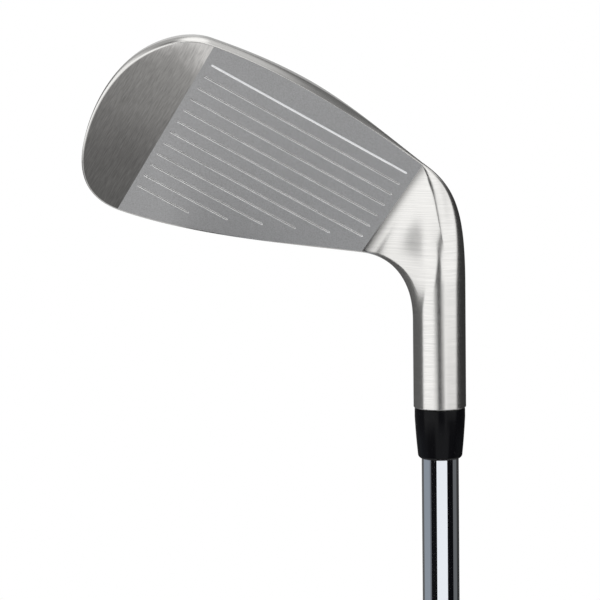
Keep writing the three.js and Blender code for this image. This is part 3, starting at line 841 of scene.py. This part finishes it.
def add_neck(skin, top_rim, heel_back, sole_rim, heel_line):
    """The skin from the heel end of the blade to the hosel's end, and the bore."""
    section = [*top_rim, *heel_back, *sole_rim, *heel_line]
    angles = []
    for first, last, count in SECTION_SIDES:
        angles.extend(math.radians(first + (last - first) * k / count) for k in range(count))
    curves = [neck_curve(skin.points[i], angle) for i, angle in zip(section, angles)]
    around = [HOSEL_RADIUS * (angles[0] - angle) for angle in angles]
    around.append(2 * math.pi * HOSEL_RADIUS)
    rings = [[bezier(curve, k / NECK_STEPS) for curve in curves] for k in range(1, NECK_STEPS + 1)]
    last = HOSEL_END - HOSEL_CHAMFER
    ends = [side_value(NECK_ENDS, angle) for angle in angles]
    for k in range(1, HOSEL_STEPS + 1):
        levels = [end + (last - end) * k / HOSEL_STEPS for end in ends]
        rings.append([round_hosel(a, d, HOSEL_RADIUS) for a, d in zip(angles, levels)])

    def axis_grain(row):
        places = [(skin.points[i] - AXIS_FOOT).dot(TO_GRIP) for i in [*row, row[0]]]
        return list(zip(around, places))

    rows = [section, *(skin.row(points) for points in rings)]
    skin.join(rows, [axis_grain(row) for row in rows], SATIN, "outside")
    section = rows[-1]
    end_rings = [
        (HOSEL_END, HOSEL_RADIUS - HOSEL_CHAMFER),
        (HOSEL_END, BORE_RADIUS + BORE_MOUTH_CHAMFER),
        (HOSEL_END - BORE_MOUTH_CHAMFER, BORE_RADIUS),
        (BORE_BOTTOM + BORE_FLOOR_CHAMFER, BORE_RADIUS),
        (BORE_BOTTOM, BORE_RADIUS - BORE_FLOOR_CHAMFER),
    ]
    for distance, radius in end_rings:
        row = skin.row([round_hosel(a, distance, radius) for a in angles])
        skin.stack([section, row], around, SATIN, "bore", distance)
        section = row
    skin.face(section, SATIN, "bore", [(a, 0.0) for a in around[:-1]])


def club_head():
    skin = Skin()
    steps = outline_steps()
    rims = add_rims(skin, steps)
    top_rim = rims[0]
    sole_rim = rims[-1][::-1]
    heel_line = skin.row(ladder(skin.points[sole_rim[-1]], skin.points[top_rim[0]], 0))
    heel_back = skin.row(ladder(skin.points[top_rim[-1]], skin.points[sole_rim[0]], HEEL_BACK_BULGE))
    add_neck(skin, top_rim, heel_back, sole_rim, heel_line)
    add_cavity(skin, steps, [*(rim[-1] for rim in rims), *heel_back[::-1]])

    first, second = (steps.index(toe_crossing(*span)) for span in TOE_LINE_SPANS)
    edge = [rim[0] for rim in rims]
    skin.fill(edge[first:second + 1], TOE, "toe", swapped=True)
    lined = [*edge[:first + 1], *edge[second:], *heel_line]
    skin.fill(lined, BLASTED, "face", holes=add_grooves(skin))
    finishes = [satin_steel(), blasted_steel(), brushed_toe(), groove_steel(), cavity_steel()]
    mounted(skin.make("head", finishes, HEAD), "club_head")


PAINT_TOP, PAINT_BOTTOM, PAINT_GAP = 0.05, 0.40, 0.08


def scoreline_paint():
    """Enamel that fills the lowest scoreline almost to the face, a little hollow where it dried."""
    levels = [
        (0.25, PAINT_TOP + 0.03), (0.14, PAINT_TOP + 0.02), (PAINT_GAP + 0.01, PAINT_TOP),
        (PAINT_GAP + 0.04, PAINT_TOP + 0.05), (0.15, 0.26), (0.22, 0.36), (0.27, PAINT_BOTTOM),
    ]
    loops = [groove_loop(0, inset, depth) for inset, depth in levels]
    paint = stacked("line_fill", loops, lengths_along(loops[0], closed=True), line_enamel())
    mounted(paint, "scoreline_paint")


# ---- badge in the cavity ----

BADGE_EDGE = 0.35
BADGE_FIELD_INSET, BADGE_FIELD_DEPTH, BADGE_FIELD_SLOPE = 3.2, 0.45, 0.2
BADGE_CREASE = 20.0
BADGE_STEPS = 160


def badge():
    """A plate with a bevelled edge and a sunken field."""
    mouth = cavity_loop([6 * k / BADGE_STEPS for k in range(BADGE_STEPS + 1)])
    back = BADGE_DEPTH + BADGE_THICKNESS
    levels = [
        (0.0, BADGE_DEPTH),
        (0.0, back - BADGE_EDGE),
        (0.3 * BADGE_EDGE, back - 0.3 * BADGE_EDGE),
        (BADGE_EDGE, back),
        (BADGE_FIELD_INSET, back),
        (BADGE_FIELD_INSET + BADGE_FIELD_SLOPE, back - BADGE_FIELD_DEPTH),
    ]
    loops = []
    for inset, depth in levels:
        loop = inset_loop(mouth, BADGE_INSET + inset)
        loops.append([Vector((*p.xy, depth)) for p in loop])
    places = lengths_along(mouth, closed=True)
    plate = stacked("cavity_plate", loops, places, badge_plate(), BADGE_CREASE)
    mounted(plate, "cavity_badge")


# ---- shaft, ferrule and band ----

SHAFT_TIP_RADIUS, SHAFT_BUTT_RADIUS = 4.7, 7.62
SHAFT_WALL, SHAFT_CHAMFER = 0.52, 0.25
SHAFT_STEPS, SHAFT_STEP_PITCH, SHAFT_STEP_RAMP = 10, 38.1, 1.6
FIRST_STEP_FROM_TIP = 232
RAMP_STEPS = 8


def node_ends(node):
    """The lowest and highest place of a CAD node on the shaft's axis, in millimetres."""
    return [corner.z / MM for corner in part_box(node)]


def shaft():
    """A steel tube that widens in ten short ramps."""
    low, high = node_ends("shaft")
    rise = (SHAFT_BUTT_RADIUS - SHAFT_TIP_RADIUS) / SHAFT_STEPS
    outside = [(SHAFT_TIP_RADIUS - SHAFT_CHAMFER, high), (SHAFT_TIP_RADIUS, high - SHAFT_CHAMFER)]
    for i in range(SHAFT_STEPS):
        top = high - FIRST_STEP_FROM_TIP - i * SHAFT_STEP_PITCH
        for k in range(RAMP_STEPS + 1):
            share = k / RAMP_STEPS
            radius = SHAFT_TIP_RADIUS + (i + smoothstep(0, 1, share)) * rise
            outside.append((radius, top - share * SHAFT_STEP_RAMP))
    outside.append((SHAFT_BUTT_RADIUS, low))
    inside = [(radius - SHAFT_WALL, z) for radius, z in outside[::-1]]
    tube = turned("shaft_tube", [*outside, *inside], mirror_chrome(), 128)
    mounted(tube, "shaft")


FERRULE_TOP, FERRULE_LIP = 6.4, 5.65        # radii
FERRULE_GAP, FERRULE_CHAMFER, LIP_ROUNDING = 0.06, 0.12, 1.1
FERRULE_STRAIGHT, FERRULE_BELLY = 2.2, 0.06
TAPER_STEPS, LIP_STEPS = 12, 8


def ferrule():
    """Black sleeve that tapers from the hosel to the shaft, with a rounded lower lip."""
    low, high = node_ends("ferrule")
    shoulder, chamfer = high - FERRULE_STRAIGHT, FERRULE_CHAMFER
    outside = [(FERRULE_TOP - chamfer, high), (FERRULE_TOP, high - chamfer), (FERRULE_TOP, shoulder)]
    for k in range(1, TAPER_STEPS + 1):
        share = k / TAPER_STEPS
        radius = FERRULE_TOP + (FERRULE_LIP - FERRULE_TOP) * share
        z = shoulder + (low + LIP_ROUNDING - shoulder) * share
        outside.append((radius + FERRULE_BELLY * math.sin(math.pi * share), z))
    for inward, left in quarter_turn(LIP_ROUNDING, LIP_STEPS)[1:]:
        outside.append((FERRULE_LIP - inward, low + left))
    bore = SHAFT_TIP_RADIUS + FERRULE_GAP
    sleeve = turned("ferrule_sleeve", [*outside, (bore, low), (bore, high)], ferrule_gloss())
    mounted(sleeve, "ferrule")


BAND_GAP, BAND_THICKNESS, BAND_ROUNDING = 0.05, 0.12, 0.04


def shaft_band():
    low, high = node_ends("shaft_band")
    inner = SHAFT_BUTT_RADIUS + BAND_GAP
    outer = inner + BAND_THICKNESS
    profile = [(inner, low), (outer, low), (outer, high), (inner, high)]
    band = turned("printed_band", rounded(profile, BAND_ROUNDING), band_film(low, high))
    mounted(band, "shaft_band")


# ---- grip ----

GRIP_CORE_RADIUS = 7.98
GRIP_PROFILE = [
    (14.9, 3.5), (14.9, 5.5), (14.0, 10.5), (13.4, 22), (12.5, 45),
    (11.6, 90), (10.4, 160), (9.5, 225), (8.8, 261), (8.8, 266.4),
]
GRIP_CHAMFER, GRIP_LIP, GRIP_LIP_STEPS = 0.3, 0.6, 4
GRIP_RINGS, GRIP_SIDES = 520, 180

# The moulded pattern: rows of short slanting grooves between plain bands with a shallow dip.
PATTERN_LOW, PATTERN_HIGH = 20, 246
ROW_PITCH, GROOVES_ROUND = 5.6, 18
GROOVE_SLANT = math.radians(38)
GROOVE_HALF_LENGTH, GROOVE_HALF_WIDTH, GROOVE_CUT = 2.1, 0.42, 0.45
PLAIN_BANDS = [(78, 84), (142, 147), (200, 204)]
BAND_DIP = 0.3


def grip_radius(z):
    """The sleeve's outside radius without its pattern, straight between the profile's points."""
    for (r0, z0), (r1, z1) in zip(GRIP_PROFILE, GRIP_PROFILE[1:]):
        if z <= z1:
            return r0 + (r1 - r0) * (z - z0) / (z1 - z0)
    return GRIP_PROFILE[-1][0]


def grip_relief(angle, z, radius):
    """Depth of the moulded grooves at a place on the sleeve, as a change of radius."""
    inside = radius < grip_radius(z) - GRIP_CHAMFER
    if inside or not PATTERN_LOW < z < PATTERN_HIGH:
        return 0.0
    for low, high in PLAIN_BANDS:
        if low < z < high:
            edge = min(z - low, high - z)
            return -BAND_DIP * smoothstep(0.2, 0.7, edge) * smoothstep(2.2, 1.7, edge)
    row = math.floor(z / ROW_PITCH)
    dz = z - (row + 0.5) * ROW_PITCH
    column = angle / (2 * math.pi) * GROOVES_ROUND + (0.5 if row % 2 else 0.0)
    dx = (column - math.floor(column) - 0.5) * 2 * math.pi * radius / GROOVES_ROUND
    slant = GROOVE_SLANT if row % 2 else -GROOVE_SLANT
    along = dx * math.cos(slant) + dz * math.sin(slant)
    across = -dx * math.sin(slant) + dz * math.cos(slant)
    distance = math.hypot(max(abs(along) - GROOVE_HALF_LENGTH, 0.0), across)
    return -GROOVE_CUT * smoothstep(GROOVE_HALF_WIDTH + 0.35, GROOVE_HALF_WIDTH - 0.25, distance)


def grip():
    """The rubber sleeve, with its pattern cut into the mesh."""
    low, high = node_ends("grip")
    foot = GRIP_PROFILE[0][0]
    outside = [(foot - GRIP_CHAMFER, low), (foot, low + GRIP_CHAMFER)]
    first, last = low + 2 * GRIP_CHAMFER, high - GRIP_LIP - GRIP_CHAMFER
    for k in range(GRIP_RINGS):
        z = first + (last - first) * k / (GRIP_RINGS - 1)
        outside.append((grip_radius(z), z))
    for inward, left in quarter_turn(GRIP_LIP, GRIP_LIP_STEPS)[1:]:
        outside.append((GRIP_PROFILE[-1][0] - inward, high - left))
    profile = [*outside, (GRIP_CORE_RADIUS, high), (GRIP_CORE_RADIUS, low)]
    sleeve = turned("grip_sleeve", profile, grip_rubber(), GRIP_SIDES, grip_relief)
    mounted(sleeve, "grip")


VENT_RADIUS, CAP_DISH, CAP_GROOVE_DEPTH = 1.6, 0.5, 0.4
CAP_GROOVES = [(6.6, 8.0), (11.4, 12.8)]
CAP_SLOPE, CAP_ROUNDING = 0.3, 0.25


def grip_cap():
    """The butt cap: a shallow dish and two ring grooves round the vent."""
    bottom, top = node_ends("grip_cap")
    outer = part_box("grip_cap")[1].x / MM
    profile = [(VENT_RADIUS, bottom + CAP_DISH), (4.2, bottom + CAP_DISH), (4.6, bottom)]
    for start, end in CAP_GROOVES:
        level = bottom + CAP_GROOVE_DEPTH
        profile.extend([(start, bottom), (start + CAP_SLOPE, level)])
        profile.extend([(end - CAP_SLOPE, level), (end, bottom)])
    profile.extend([
        (outer - 1.2, bottom), (outer - 0.35, bottom + 0.35), (outer, bottom + 1.2),
        (outer, top - 0.8), (outer - 0.5, top), (VENT_RADIUS, top),
    ])
    cap = turned("butt_cap", rounded(profile, CAP_ROUNDING, 3), cap_rubber())
    mounted(cap, "grip_cap")


def finish_hidden_nodes():
    """The pieces inside keep their CAD shape and get their real materials."""
    for node, material in (
        ("badge_pad", soft_foam()),
        ("hosel_epoxy", amber_epoxy()),
        ("tip_weight", turned_brass()),
        ("grip_tape", paper_tape()),
    ):
        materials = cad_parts[node].data.materials
        materials.clear()
        materials.append(material)


# ---- studio ----

CAMERA_SIDE = Vector((-0.182, -0.979, 0)).normalized()
CAMERA_RIGHT = Vector((0.979, -0.182, 0)).normalized()

# Soft boxes in the studio, as brightness and edges. An edge (a, b, c, soft) is lit where
# a * azimuth + b * elevation + c is above 0, over a border of soft degrees to either side. Azimuth
# is counted to the right from the camera's side of the club, and elevation up from level.
SOFT_BOXES = [
    ("left box", 1.35,
     [(1, 0, 121, 6), (0.8, 1, 100, 5), (0, 1, 34, 20), (0, -1, 44, 26), (-1, 0, 28, 4)]),
    ("right box", 1.35,
     [(1, 0, -12, 4), (-1, 0.7, 81, 4), (0, -1, 36, 4), (0, 1, 12, 4)]),
    ("left wall", 0.12, [(-1, 0, -60, 10)]),
    ("left wall, high up", 0.5, [(-1, 0, -96, 14), (0, 1, -20, 8)]),
    ("right wall", 0.085, [(0, 1, -20, 6), (1, 0, -30, 6)]),
    ("right wall, high up", 0.17, [(0, 1, -36, 6), (1, 0, -72, 8)]),
    ("ceiling", 1.3, [(-0.33, 1, -22, 5), (1, 0, 60, 25), (-1, 0, 60, 40)]),
    ("ceiling, right half", 0.8, [(-0.1, 1, -43, 4), (1, 0, -45, 30)]),
    ("overhead lamp", 1.5, [(0, 1, -70, 5)]),
    ("table", 0.70, [(0, -1, -40, 12)]),
    ("back wall, left end", 0.7, [(-1, 0, -158, 8), (0, 1, 1, 6)]),
    ("back wall, right end", 0.5, [(1, 0, -160, 8), (0, 1, 1, 6)]),
]
ROOM_LIGHT = 0.04

# The dark gap between the boxes, in degrees. Below level it turns to the right, and high up it leans
# to the left. Its upper part is narrower and a little lighter.
GAP_MIDDLE, GAP_BORDER = -12.0, 2.5
GAP_DEPTH, GAP_HEIGHT, GAP_END_BORDER = 30.0, 38.0, 6.0
GAP_TURN_START, GAP_TURN, GAP_TURN_LIMIT = 4.0, 3.5, 16.0
GAP_LEAN_START, GAP_LEAN = 22.0, 1.6
GAP_HALF_WIDTHS, GAP_NARROWING = (15.0, 9.0), (12.0, 9.0)   # low and high; level and border
GAP_LIGHTS, GAP_LIGHTENING = (0.015, 0.06), (-4.0, 3.0)


def studio():
    """Tall soft boxes left and right of the camera, with a dark gap between them."""
    world = bpy.data.worlds.new("studio")
    world.use_nodes = True
    bpy.context.scene.world = world
    shader = Shader(world.node_tree)
    way = shader.node("TexCoord").outputs["Generated"]

    def along(direction):
        inputs = {0: way, 1: tuple(direction)}
        return shader.node("VectorMath", inputs, operation="DOT_PRODUCT").outputs["Value"]

    def above(value, level, soft):
        """0 where the value is under the level, 1 where it is over, with a soft border."""
        inputs = {"Value": value, "From Min": level - soft, "From Max": level + soft}
        made = shader.node("MapRange", inputs, interpolation_type="SMOOTHSTEP")
        return made.outputs["Result"]

    def past(value, start, slope):
        """0 up to the start, and from there on a slope."""
        distance = shader.math("MAXIMUM", shader.math("SUBTRACT", value, start), 0.0)
        return shader.math("MULTIPLY", distance, slope)

    azimuth = shader.math("ARCTAN2", along(CAMERA_RIGHT), along(CAMERA_SIDE))
    azimuth = shader.math("MULTIPLY", azimuth, math.degrees(1))
    elevation = shader.math("MULTIPLY", shader.math("ARCSINE", along(UP)), math.degrees(1))

    light = ROOM_LIGHT
    for _, brightness, edges in SOFT_BOXES:
        box = brightness
        for a, b, c, soft in edges:
            across = shader.math("MULTIPLY", azimuth, float(a))
            place = shader.math("ADD", across, shader.math("MULTIPLY", elevation, float(b)))
            box = shader.math("MULTIPLY", box, above(place, -c, soft))
        light = shader.math("MAXIMUM", light, box)

    depth = shader.math("MULTIPLY", elevation, -1.0)
    turn = shader.math("MINIMUM", past(depth, GAP_TURN_START, GAP_TURN), GAP_TURN_LIMIT)
    shift = shader.math("SUBTRACT", turn, past(elevation, GAP_LEAN_START, GAP_LEAN))
    from_middle = shader.math("SUBTRACT", azimuth, shader.math("ADD", shift, GAP_MIDDLE))
    half_width = shader.spread(above(elevation, *GAP_NARROWING), *GAP_HALF_WIDTHS)
    inside = shader.math("SUBTRACT", half_width, shader.math("ABSOLUTE", from_middle))
    gap = above(inside, 0.0, GAP_BORDER)
    gap = shader.math("MULTIPLY", gap, above(elevation, -GAP_DEPTH, GAP_END_BORDER))
    gap = shader.math("MULTIPLY", gap, above(depth, -GAP_HEIGHT, GAP_END_BORDER))
    gap_light = shader.spread(above(elevation, *GAP_LIGHTENING), *GAP_LIGHTS)
    light = shader.node("Mix", {"Factor": gap, "A": light, "B": gap_light}).outputs["Result"]

    rays = shader.node("LightPath").outputs["Is Camera Ray"]
    room = shader.node("Background", {"Color": light}).outputs[0]
    backdrop = shader.node("Background", {"Color": colour(1.0)}).outputs[0]
    both = shader.node("MixShader", {0: rays, 1: room, 2: backdrop}).outputs[0]
    output = next(node for node in shader.tree.nodes if node.type == "OUTPUT_WORLD")
    shader.feed(output.inputs["Surface"], both)


# Cards that stand round the shaft and the lower end of the hosel: where each starts and ends, in
# degrees to the right of the camera's side, its light, and the heights of its edges in metres.
SHAFT_CARD_EDGES = (0.795, 0.853)
HOSEL_CARD_EDGES = (0.853, 0.905)
CARDS = [
    (-125, -71, (0.27, 0.30, 0.34), SHAFT_CARD_EDGES),
    (-71, -62, (0.16, 0.17, 0.19), SHAFT_CARD_EDGES),
    (-62, -26, (0.006, 0.006, 0.007), SHAFT_CARD_EDGES),
    (-26, 38, (0.90, 0.92, 0.95), SHAFT_CARD_EDGES),
    (38, 78, (0.004, 0.004, 0.005), SHAFT_CARD_EDGES),
    (78, 112, (0.13, 0.135, 0.14), SHAFT_CARD_EDGES),
    (-135, -77, (0.12, 0.12, 0.12), HOSEL_CARD_EDGES),
]
CARD_RADIUS, CARD_SEGMENT = 0.07, 6


def cards():
    """Reflected in the metal only; the camera doesn't see them."""
    for first, last, glow, edges in CARDS:
        steps = max(2, (last - first) // CARD_SEGMENT)
        skin = Skin()
        ways = []
        for k in range(steps + 1):
            angle = math.radians(first + (last - first) * k / steps)
            ways.append(CAMERA_SIDE * math.cos(angle) + CAMERA_RIGHT * math.sin(angle))
        low, high = (skin.row([way * CARD_RADIUS + UP * height for way in ways]) for height in edges)
        skin.join([low, high], [[(0.0, 0.0)] * (steps + 1)] * 2, 0, "card", closed=False)
        finish = Finish(f"card_{first}", Base_Color=0.0, Roughness=1.0, Specular_IOR_Level=0.0)
        finish.set(Emission_Color=colour(glow), Emission_Strength=1.0)
        card = skin.make(f"card_{first}", [finish.material], Matrix.Identity(4))
        card.visible_camera = False
        card.visible_diffuse = False
        card.visible_shadow = False


FLOOR_RADIUS, FLOOR_SIDES, FLOOR_LEVEL = 1.6, 96, -0.0005
FLOOR_FADE = (1.5, 0.7)         # distances in metres where it is gone and where it is whole


def floor():
    """A pale round floor that fades out towards its edge.

    Only its lower side is drawn: from above it is clear, and the plain background takes its place.
    """
    skin = Skin()
    angles = [2 * math.pi * k / FLOOR_SIDES for k in range(FLOOR_SIDES)]
    ring = [Vector((math.cos(a), math.sin(a), 0)) * FLOOR_RADIUS for a in angles]
    skin.fill(skin.row(ring), 0, "floor")
    finish = Finish("pale_floor", Base_Color=0.86, Roughness=0.7)
    place = finish.node("TexCoord").outputs["Object"]
    out = finish.node("VectorMath", {0: place}, operation="LENGTH").outputs["Value"]
    upper_side = finish.node("NewGeometry").outputs["Backfacing"]
    shown = finish.math("SUBTRACT", 1.0, upper_side)
    finish.set(Alpha=finish.math("MULTIPLY", finish.share(out, *FLOOR_FADE), shown))
    skin.make("floor", [finish.material], Matrix.Translation(UP * FLOOR_LEVEL))


# ---- build ----

add_camera()
bpy.context.scene.view_settings.view_transform = "Standard"
club_head()
scoreline_paint()
badge()
shaft()
ferrule()
shaft_band()
grip()
grip_cap()
finish_hidden_nodes()
studio()
cards()
floor()
